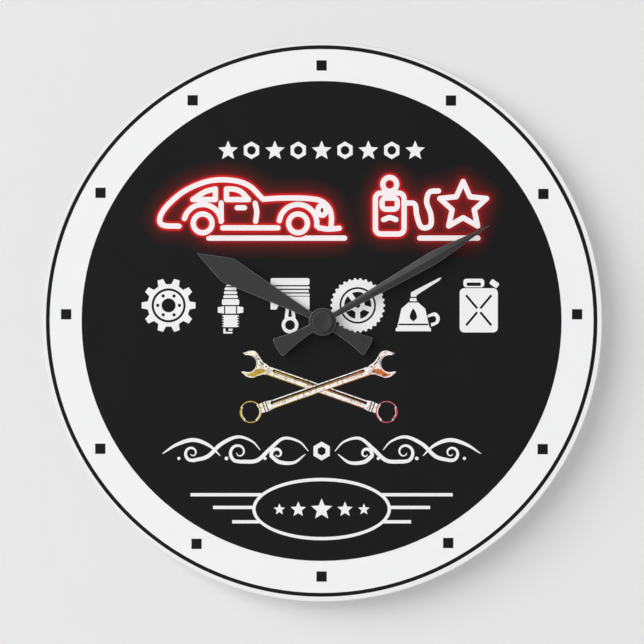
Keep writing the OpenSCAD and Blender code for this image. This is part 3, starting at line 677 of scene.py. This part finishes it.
def icon_fuel_can():
    """A flat can with a pressed cross, a handle and a slanted cap."""
    middle = -2.4
    arm = [(1.2, -0.55), (9.6, -0.55), (9.6, 0.55), (1.2, 0.55)]
    cross = [moved(arm, 0, middle, turn) for turn in (50, 130, 230, 310)]
    handle = [rounded(-2.4, 10.9, 10.2, 4.2, 1.5), rounded(-2.4, 10.3, 7.0, 1.7, 0.7)]
    cap = moved(rounded(0, 0, 4.4, 2.8, 0.7), 7.6, 10.6, -35)
    return [rounded(0, middle, 18.6, 21.6, 2.2), *cross, *handle, cap]


ICON_Z = 7.6
ICONS = [("gear", icon_gear, -74.6), ("spark_plug", icon_spark_plug, -44.4), ("piston", icon_piston, -15.4),
         ("wheel", icon_wheel, 17.6), ("oil_can", icon_oil_can, 45.9), ("fuel_can", icon_fuel_can, 76.6)]


def pictograms():
    for name, draw, x in ICONS:
        dial_print("icon_" + name, [moved(loop, x, ICON_Z) for loop in draw()])


# ---------------------------------------- other ornaments and the ring
STRIP_Z = 83.2
STRIP_STEP = 11.4
RING_SPREAD = 0.14  # how much further out the ring reaches than the frame's
RING_WIDTH = 0.8
SCROLL_Z = -63.4
OVAL_Z = -91.7
OVAL_HALF = (33.8, 15.2)
OVAL_LINE = 1.6
OVAL_TUCK = 0.15  # how far the speed lines reach under the oval's line
STAR_DROP = 0.2  # stars stand this much lower than their row, so that they look level with it


def top_strip():
    """Stars and hexagon nuts in a row, where a name plate would be."""
    loops = []
    for i in range(9):
        x = (i - 4) * STRIP_STEP
        if i % 2 == 0:
            loops.append(star(x, STRIP_Z - STAR_DROP, 5.0))
        else:
            loops += [hexagon(x, STRIP_Z, 4.3), circle(x, STRIP_Z, 2.1, 24)]
    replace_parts(dial_print("top_strip", loops), "white_print")


def ring_line():
    """The printed ring near the panel's edge, laid over the frame's own a little wider."""
    outer = INK_R / MM + RING_SPREAD
    loops = [circle(0, 0, outer, 360), circle(0, 0, outer - RING_WIDTH, 360)]
    dial_print("ring_line", loops, "black_ink", layer=3)


def swell(t):
    """Width of a pen stroke along its length, in mm."""
    return 0.35 + 1.55 * math.sin(math.pi * min(1.0, max(0.0, t))) ** 0.8


def scroll_lines():
    """Pen strokes of the right half of the scroll."""
    z = SCROLL_Z
    wave = smooth([(6.5, z), (11.0, z + 4.6), (18.5, z + 6.2), (25.0, z + 1.2), (31.5, z - 4.6),
                   (39.5, z - 5.2)])
    under = smooth([(8.0, z - 1.6), (13.5, z - 5.6), (20.5, z - 5.4), (24.6, z - 2.4)])
    outer = smooth([(30.0, z + 0.6), (34.0, z + 4.8), (41.0, z + 6.9), (49.0, z + 3.4), (55.5, z - 2.6),
                    (62.5, z - 4.6)])
    tail = smooth([(49.5, z - 2.2), (55.0, z + 2.8), (62.5, z + 5.4), (70.5, z + 3.2), (77.5, z - 1.2)])
    return [wave + spiral(40.4, z - 0.6, 4.7, 1.1, -78, 340)[1:],
            under + spiral(21.6, z - 1.4, 3.0, 0.8, -10, 330)[1:],
            outer + spiral(63.2, z - 1.0, 3.7, 0.9, -80, 320)[1:],
            tail]


def scroll():
    half = scroll_lines()
    lines = [(resampled(line, 0.7), False) for line in half + [mirrored(line) for line in half]]
    dressed(bands("scroll", lines, swell, ART_LO.y, 2 * LAYER), "dial", "white_ink")
    dots = [hexagon(0, SCROLL_Z, 4.6), hexagon(0, SCROLL_Z, 2.2)]
    for x, r in ((46.4, 0.9), (69.6, 0.8), (27.6, 0.8)):
        dots += [circle(x, SCROLL_Z - 3.6, r, 16), circle(-x, SCROLL_Z - 3.6, r, 16)]
    dial_print("scroll_dots", dots)


def oval_badge():
    """The oval with three speed lines to each side and a row of stars."""
    w, h = OVAL_HALF

    def bar_start(z):
        """x where a speed line's edge at height z starts, just under the oval's line."""
        return w * math.sqrt(1 - ((z - OVAL_Z) / h) ** 2) - OVAL_TUCK

    rim = [oval_loop(0, OVAL_Z, w, h, 96), oval_loop(0, OVAL_Z, w - OVAL_LINE, h - OVAL_LINE, 96)]
    dial_print("oval_line", rim)
    bars = []
    for far, z in ((63.9, -84.7), (52.9, -90.9), (43.6, -97.9)):
        top, low = z + OVAL_LINE / 2, z - OVAL_LINE / 2
        bar = [(bar_start(top), top), (far, top), (far, low), (bar_start(low), low)]
        bars += [bar, mirrored(bar)]
    dial_print("speed_lines", bars, layer=1)
    star_z = OVAL_Z - STAR_DROP
    stars = [star(0, star_z, 5.4)]
    for x, r in ((11.4, 3.9), (20.6, 2.9)):
        stars += [star(x, star_z, r), star(-x, star_z, r)]
    dial_print("oval_stars", stars)


# ---------------------------------------- crossed spanners
SPANNER_X = -1.45  # the line that the two spanners mirror across
SPANNER_Z = -32.8
SPANNER_TILT = 19.2
JAW_X = -36.6
RING_X = 35.1
RING_R = 5.35
RING_LINE = 1.05
MOUTH_R = 4.2
SHAFT = 2.05  # half the shaft's width
SHAFT_END = RING_X - 11.5
GROOVE_FROM = JAW_X + 12.6
GROOVE_TO = RING_X - 10.5


def from_jaw(points):
    """Places given from the middle of the jaw, level with the dial, laid along the spanner."""
    return moved(points, JAW_X, 0, SPANNER_TILT)


def spanner_shape():
    """Outline of the spanner as one closed loop, with the jaw at its left end and the ring at its right."""
    low_jaw = smooth(from_jaw([(-3.3, -4.0), (-1.0, -6.1), (2.1, -6.9), (4.8, -6.0), (7.4, -5.2)]), 6)
    top_jaw = smooth(from_jaw([(7.6, 0.6), (5.6, 3.4), (4.2, 5.6), (1.6, 6.3), (-2.5, 5.1)]), 6)
    mouth = from_jaw(arc(0, 0, MOUTH_R, 104, -116, 9))
    low_shaft = [(JAW_X + 11.0, -SHAFT), (SHAFT_END, -SHAFT), (RING_X - 8.2, -SHAFT - 0.5)]
    top_shaft = [(x, -z) for x, z in reversed(low_shaft)]
    ring = arc(RING_X, 0, RING_R, -156, 156, 9)
    return low_jaw + low_shaft + ring + top_shaft + top_jaw + mouth


def spanner_dark():
    """The black details: groove, dashes under it, lines at jaw and collar, shaded parts of the ring."""
    shapes = [rounded((GROOVE_FROM + GROOVE_TO) / 2, 0.78, GROOVE_TO - GROOVE_FROM, 1.45, 0.5)]
    for i in range(6):
        shapes.append(rectangle(GROOVE_FROM + 1.6 + 1.5 * i, -0.5, 0.9, 0.22))
        shapes.append(rectangle(GROOVE_TO - 1.2 - 1.5 * i, -0.5, 0.9, 0.22))
    shapes.append(from_jaw(arc_band(0, 0, MOUTH_R + 0.55, MOUTH_R + 0.3, 60, -30)))
    for x, z in ((4.6, 2.6), (9.6, -0.6)):
        shapes.append(from_jaw([(x, z), (x + 0.5, z + 0.2), (x + 1.4, z - 0.9), (x + 1.0, z - 1.1)]))
    shapes.append(from_jaw([(5.6, 0.9), (6.2, 1.2), (7.9, -0.6), (7.5, -0.9)]))
    shapes.append(from_jaw([(8.4, -1.2), (9.4, -1.3), (9.2, -1.9), (8.6, -1.8)]))
    for x, half in ((RING_X - 8.6, 2.4), (RING_X - 7.2, 2.6)):
        shapes.append([(x, -half), (x + 0.5, -half - 0.1), (x + 0.5, half + 0.1), (x, half)])
    outer, inner = RING_R - RING_LINE * 0.45, RING_R - RING_LINE - 0.1
    for start, end in ((48, 150), (-104, -36)):
        shapes.append(arc_band(RING_X, 0, outer, inner, start, end, 6))
    return shapes


def spanner_rich():
    """The gold and copper parts: inside the groove, along the low edge, on the lower jaw and the ring."""
    groove = [(GROOVE_FROM + 0.7, 0.2), (GROOVE_TO - 0.9, 0.2), (GROOVE_TO - 1.3, 0.5),
              (GROOVE_FROM + 0.5, 0.95)]
    edge = [(JAW_X + 10.0, -SHAFT - 0.1), (SHAFT_END, -SHAFT - 0.05), (SHAFT_END, -SHAFT + 0.3),
            (JAW_X + 10.0, -SHAFT + 0.35)]
    jaw = (smooth(from_jaw([(-0.6, -5.6), (2.4, -6.5), (4.9, -5.5), (7.4, -4.6), (8.8, -3.6)]), 5)
           + from_jaw([(8.0, -2.9), (5.6, -2.4)] + arc(0, 0, MOUTH_R + 0.7, -36, -92, 8)))
    ring = [arc_band(RING_X, 0, RING_R, RING_R - RING_LINE * depth, start, end)
            for start, end, depth in ((-30, 44, 0.75), (50, 148, 0.4), (154, 250, 0.55), (256, 324, 0.4))]
    return [groove, edge, jaw, *ring]


def spanner(name, place, below):
    """One spanner in three inks. place lays a loop on the dial, and below counts layers under the artwork."""
    outline = [spanner_shape(), circle(RING_X, 0, RING_R - RING_LINE)]
    base = dial_print("spanner_" + name, [place(loop) for loop in outline], "spanner_pale",
                      layer=2 + below)
    dial_print("spanner_dark_" + name, [place(loop) for loop in spanner_dark()], "black_ink",
               layer=1.6 + below)
    dial_print("spanner_gold_" + name, [place(loop) for loop in spanner_rich()], "rich_" + name,
               layer=1.3 + below)
    return base


def spanners():
    """Two spanners that cross, the right one over the left one."""
    def place_left(loop):
        return moved(loop, SPANNER_X, SPANNER_Z, -SPANNER_TILT)

    def place_right(loop):
        return moved(mirrored(loop), SPANNER_X, SPANNER_Z, SPANNER_TILT)

    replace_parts(spanner("left", place_left, 1), "spanner_print")
    spanner("right", place_right, 0)


# ---------------------------------------- hands and cap
HOUR_ANGLE = -61.4
MINUTE_ANGLE = 60.0
HUB_R = 6.7
EDGE = 0.15  # width of the hands' bevelled edge, painted lighter as a highlight, in mm
EDGE_TILT = (0.15, 0.97)  # how far the faces of that edge point along Y
HAND_T = 0.0006
CREASE = 0.5  # height of the minute hand's ridge, in mm
TIP_CREASE = 0.06
TIP_HALF = 0.02  # half the ridge's width at the tip
PLATE_FRONT = {"hour_hand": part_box("hour_hand")[0].y, "minute_hand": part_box("minute_hand")[0].y + CREASE * MM}
HOUR_BLADE = [(1.5, 6.5), (5.85, 47.0), (6.2, 50.2), (6.3, 51.8), (6.15, 53.0), (5.75, 54.4), (0.15, 69.3)]
MINUTE_BLADE = [(1.3, 6.55), (3.0, 55.0), (3.2, 60.0), (3.12, 63.5), (0.12, 93.4)]
TAIL = [(2.0, 6.4), (2.35, 11.0), (2.95, 16.0), (3.75, 20.0), (4.75, 24.2), (4.72, 24.9), (4.1, 25.4),
        (2.2, 25.7), (0.0, 25.8)]
CAP_ROUNDING = 0.0003
CAP_HIGHLIGHT = 0.00012  # width of the painted highlight line on the cap's edge


def hub_arc(from_point, to_point):
    """Points of the hub's edge between two outline points, the short way round."""
    start, end = direction(from_point), direction(to_point)
    end -= 360 * round((end - start) / 360)
    return arc(0, 0, HUB_R, start, end, 6)[1:-1]


def hand_outline(blade):
    """The hand with its blade up, as one loop round blade, hub and tail."""
    left_blade = [(-w, s) for w, s in reversed(blade)]
    left_tail = [(-w, -s) for w, s in TAIL]
    right_tail = [(w, -s) for w, s in reversed(TAIL[:-1])]
    return (blade + left_blade + hub_arc(left_blade[-1], left_tail[0]) + left_tail + right_tail
            + hub_arc(right_tail[-1], blade[0]))


def hand(name, node, body, blade, angle):
    """A flat plate whose narrow bevelled faces carry a painted highlight."""
    outline = moved(hand_outline(blade), 0, 0, -angle)
    plate = flat_piece(name, [outline], PLATE_FRONT[node], HAND_T, bevel=EDGE * MM)
    dressed(plate, body, "hand_black")
    plate.data.materials.append(MATERIALS["hand_edge_highlight"])
    # the bevelled faces get the lighter grey, a painted highlight
    for face in plate.data.polygons:
        if EDGE_TILT[0] < abs(face.normal.y) < EDGE_TILT[1]:
            face.material_index = 1
    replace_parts(plate, node)


def ridge(name, body, rows, angle, front):
    """Two sloping facets that meet along a blade's middle, from (half width, place, height) rows."""
    flat = [(x, s) for half, s, _ in rows for x in (-half, 0.0, half)]
    rises = [rise for _, _, height in rows for rise in (0.0, height, 0.0)]
    points = [(x * MM, front - rise * MM, z * MM) for (x, z), rise in zip(moved(flat, 0, 0, -angle), rises)]
    last = len(points) - 3
    faces = [(0, 1, 2)]
    for a in range(0, last, 3):
        faces += [(a, a + 1, a + 4, a + 3), (a + 1, a + 2, a + 5, a + 4), (a, a + 3, a + 5, a + 2)]
    faces.append((last, last + 2, last + 1))
    obj = mesh_object(name, points, faces)
    clean_mesh(obj.data)
    dressed(obj, body, "ridge_black")


def rounded_edge(r, y, size, steps=4):
    """Quarter circle from the rim of a face at y to its side at radius r, towards +Y."""
    return [(r - size + size * math.sin(t), y + size - size * math.cos(t))
            for t in np.linspace(0, math.pi / 2, steps + 1)]


def hub():
    """The dished cap at the middle, with a thin painted highlight line round its edge."""
    lo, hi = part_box("hub_cap")
    r = (hi.x - lo.x) / 2
    dish = [(0.0, lo.y + 0.00018), (r * 0.72, lo.y + 0.0001), (r * 0.86, lo.y)]
    recess_r, recess_y = r * 0.4, hi.y - 0.0004
    back = [(r, hi.y), (recess_r, hi.y), (recess_r, recess_y), (0.0, recess_y)]
    cap = lathe("cap", dish + rounded_edge(r, lo.y, CAP_ROUNDING) + back)
    dressed(cap, "minute", "hand_black")
    cap.data.materials.append(MATERIALS["hand_edge_highlight"])
    # faces at the outer edge of the rounding get the lighter grey, a painted highlight
    for face in cap.data.polygons:
        reach = math.hypot(face.center.x, face.center.z)
        if reach > r - CAP_HIGHLIGHT and face.center.y < lo.y + CAP_ROUNDING:
            face.material_index = 1
    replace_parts(cap, "hub_cap")


def hands():
    hand("hour_plate", "hour_hand", "hour", HOUR_BLADE, HOUR_ANGLE)
    hand("minute_plate", "minute_hand", "minute", MINUTE_BLADE, MINUTE_ANGLE)
    rows = [(w - EDGE, s, CREASE) for w, s in MINUTE_BLADE[:-1]]
    rows.append((TIP_HALF, MINUTE_BLADE[-1][1], TIP_CREASE))
    ridge("minute_ridge", "minute", rows, MINUTE_ANGLE, PLATE_FRONT["minute_hand"])
    hub()


# ---------------------------------------- finishes of the CAD nodes
def dress_nodes():
    for part in frame["record"]["subparts"]:
        obj = NODES[part["node"]]
        mat = MATERIALS[part["material_slot"]]
        if not obj.material_slots:
            obj.data.materials.append(mat)
        for slot in obj.material_slots:
            slot.material = mat
    NODES["setting_knob"].material_slots[0].material = MATERIALS["knob_plastic"]
    # painted shade on the panel's rim, outside the printed ring
    shade_rim(MATERIALS["white_acrylic"], INK_R + 0.0001, 0.0003, RIM_SHADE)
    for node in ("dial_panel", "black_print"):
        NODES[node].visible_diffuse = False


# ---------------------------------------- battery and the marks on the case's back
NUB_LEN = 0.001
NUB_R = 0.00275
FILM_BANDS = (("wide", 0.012, 0.0065), ("thin", 0.0205, 0.001), ("end", 0.044, 0.001))
MARK_T = 0.0001
SIGN_X = 20.6  # plus and minus stand this far from the middle


def cell_can(axis, lo, hi):
    """The battery's can, from the nub to its base, with the insulating washer round the nub."""
    r = (hi.z - lo.z) / 2
    nub_end = lo.x + NUB_LEN
    nub = [(0.0, lo.x), (NUB_R - 0.0005, lo.x), (NUB_R - 0.0001, lo.x + 0.0002), (NUB_R, lo.x + 0.0005),
           (NUB_R + 0.0002, nub_end), (r - 0.0018, nub_end + 0.0001)]
    crimp = [(r - 0.0015, nub_end + 0.0005), (r - 0.0011, nub_end + 0.0005), (r - 0.0008, nub_end + 0.0001)]
    side = [(r - 0.0003, nub_end), (r, nub_end + 0.0004), (r, hi.x - 0.0004), (r - 0.0004, hi.x)]
    base = [(r - 0.0012, hi.x), (r - 0.0015, hi.x - 0.0003), (r - 0.0024, hi.x - 0.0003),
            (r - 0.0027, hi.x), (0.0, hi.x)]
    can = lathe("cell_can", nub + crimp + side + base, axis, "X")
    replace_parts(dressed(can, "battery", "cell_metal"), "battery_cell")
    hole_r, washer_r = NUB_R + 0.0003, r - 0.002
    face, back = nub_end - 0.00005, nub_end + 0.0002
    washer = [(hole_r, face), (washer_r, face), (washer_r, back), (hole_r, back)]
    dressed(lathe("cell_washer", washer, axis, "X"), "battery", "nylon")


def battery():
    """An AA cell, the film round it and three bands on the film."""
    lo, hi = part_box("battery_cell")
    film_lo, film_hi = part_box("battery_label")
    axis = ((lo.y + hi.y) / 2, (lo.z + hi.z) / 2)
    cell_can(axis, lo, hi)
    under_r = (hi.z - lo.z) / 2 - 0.0002
    film_r = (film_hi.z - film_lo.z) / 2
    skin_r, band_r = film_r - 0.00005, film_r + 0.00003
    film = lathe("cell_film", [(under_r, film_lo.x), (skin_r, film_lo.x), (film_r, film_lo.x + 0.0002),
                               (film_r, film_hi.x - 0.0002), (skin_r, film_hi.x), (under_r, film_hi.x)],
                 axis, "X")
    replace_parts(dressed(film, "battery", "label_film"), "battery_label")
    for name, place, width in FILM_BANDS:
        start, end = film_lo.x + place, film_lo.x + place + width
        rows = [(skin_r, start), (band_r, start), (band_r, end), (skin_r, end)]
        dressed(lathe("cell_band_" + name, rows, axis, "X"), "battery", "label_pale")


def back_marks():
    """Battery signs and a turning arrow round the setting knob, painted on the back of the case."""
    knob_lo, knob_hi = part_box("setting_knob")
    knob_x, knob_z = (knob_lo.x + knob_hi.x) / 2 / MM, (knob_lo.z + knob_hi.z) / 2 / MM
    inner = (knob_hi.x - knob_lo.x) / 2 / MM + 2.3
    outer = inner + 0.6
    shaft = arc_band(knob_x, knob_z, outer, inner, 200, 285, 6)
    head = [around(knob_x, knob_z, r, a)
            for r, a in ((inner - 0.8, 285), ((inner + outer) / 2, 298), (outer + 0.8, 285))]
    sign_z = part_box("battery_cell")[1].z / MM + 3.6
    plus = [(-0.4, -1.5), (0.4, -1.5), (0.4, -0.4), (1.5, -0.4), (1.5, 0.4), (0.4, 0.4), (0.4, 1.5),
            (-0.4, 1.5), (-0.4, 0.4), (-1.5, 0.4), (-1.5, -0.4), (-0.4, -0.4)]
    minus = rectangle(SIGN_X, sign_z, 3.0, 0.8)
    cell = [rounded(1.0, sign_z, 15.0, 3.0, 0.4), rounded(1.0, sign_z, 14.4, 2.4, 0.3),
            circle(9.2, sign_z, 0.4, 12), rectangle(-7.2, sign_z, 0.6, 1.6)]
    loops = [shaft, head, moved(plus, -SIGN_X, sign_z), minus, *cell]
    dressed(flat_piece("back_marks", loops, -MARK_T / 2, MARK_T), "dial", "mark_paint")


# ---------------------------------------- stage, light and camera
WALL_DARK = (0.795, 0.795, 0.795)
WALL_LIGHT = (0.805, 0.805, 0.805)
WALL_Y = 0.0002
FLOOR_Z = -1.1
STAGE_HALF = 8.0  # half the width of the wall and the floor
ROOM_LIGHT = 0.12
BACKGROUND = 0.75
SUN_POWER = 0.84
SUN_SPREAD = 12.0
CAMERA_PLACE = (-0.0003, -1.4, -0.0001)
PICTURE_WIDTH = 0.3140  # of what the camera sees at the panel's front
SENSOR = 36.0


def one_sided_paint(name, dark, light):
    """Paint that can't be seen from behind."""
    mat, nodes, links, shader = new_material(name)
    cloud = noise(nodes, links, mapped_coords(nodes, links), 3.0)
    links.new(ramp(nodes, links, cloud, [(0.2, dark), (0.8, light)]), shader.inputs["Base Color"])
    shader.inputs["Roughness"].default_value = 0.9
    shader.inputs["Specular IOR Level"].default_value = 0.1
    side = nodes.new("ShaderNodeNewGeometry")
    clear = nodes.new("ShaderNodeBsdfTransparent")
    pick = nodes.new("ShaderNodeMixShader")
    links.new(side.outputs["Backfacing"], pick.inputs["Fac"])
    links.new(shader.outputs["BSDF"], pick.inputs[1])
    links.new(clear.outputs["BSDF"], pick.inputs[2])
    links.new(pick.outputs["Shader"], nodes["Material Output"].inputs["Surface"])
    return mat


def backdrop():
    """A floor, and a wall that only its front side shows, so that the clock can be seen from behind."""
    s = STAGE_HALF
    corners = [(-s, -s), (s, -s), (s, s), (-s, s)]
    wall = mesh_object("wall", [(x, WALL_Y, z) for x, z in corners], [(0, 1, 2, 3)])
    wall.data.materials.append(one_sided_paint("wall_paint", WALL_DARK, WALL_LIGHT))
    wall.visible_shadow = False
    wall.visible_diffuse = False
    floor = mesh_object("floor", [(x, y, FLOOR_Z) for x, y in corners], [(0, 1, 2, 3)])
    floor.data.materials.append(surface("floor_paint", (0.78, 0.78, 0.78), 0.7, tint=0.02, tint_scale=2.0))


def area_light(name, clock_angle, off_normal, distance, size, power):
    """A softbox seen from the dial in a direction clockwise from the top, off the line straight ahead."""
    c, o = math.radians(clock_angle), math.radians(off_normal)
    outward = Vector((math.sin(c), 0, math.cos(c)))
    ahead = Vector((0, -1, 0))
    axis_z = ahead * math.cos(o) + outward * math.sin(o)
    axis_x = outward * math.cos(o) - ahead * math.sin(o)
    axis_y = axis_z.cross(axis_x)
    light = bpy.data.lights.new(name, "AREA")
    light.shape = "RECTANGLE"
    light.size, light.size_y = size
    light.energy = power
    obj = new_object(name, light)
    obj.matrix_world = Matrix((axis_x, axis_y, axis_z)).transposed().to_4x4()
    obj.location = axis_z * distance
    obj.visible_camera = False


def room():
    """A sky that the camera sees brighter than it lights."""
    world = bpy.data.worlds.new("room")
    world.use_nodes = True
    nodes, links = world.node_tree.nodes, world.node_tree.links
    sky = nodes["Background"]
    sky.inputs["Color"].default_value = (1, 1, 1, 1)
    path = nodes.new("ShaderNodeLightPath")
    strength = spread(nodes, links, path.outputs["Is Camera Ray"], ROOM_LIGHT, BACKGROUND)
    links.new(strength, sky.inputs["Strength"])
    bpy.context.scene.world = world


def lights():
    area_light("key", 298.0, 40.0, 7.0, (6.4, 3.6), 345.0)
    area_light("back", 30.0, 150.0, 2.0, (2.4, 2.4), 34.0)
    sun = bpy.data.lights.new("fill", "SUN")
    sun.energy = SUN_POWER
    sun.angle = math.radians(SUN_SPREAD)
    fill = new_object("fill", sun)
    fill.rotation_euler = (math.radians(90), 0, 0)
    fill.visible_glossy = False
    room()


def camera():
    data = bpy.data.cameras.new("camera")
    data.sensor_width = SENSOR
    data.lens = SENSOR * (PANEL_FRONT - CAMERA_PLACE[1]) / PICTURE_WIDTH
    obj = new_object("camera", data)
    obj.location = CAMERA_PLACE
    obj.rotation_euler = (math.radians(90), 0, 0)
    bpy.context.scene.camera = obj


# ---------------------------------------- the whole picture
dress_nodes()
neon_sign()
pictograms()
top_strip()
ring_line()
scroll()
oval_badge()
spanners()
hands()
battery()
back_marks()
backdrop()
lights()
camera()
bpy.context.scene.view_settings.view_transform = "Standard"
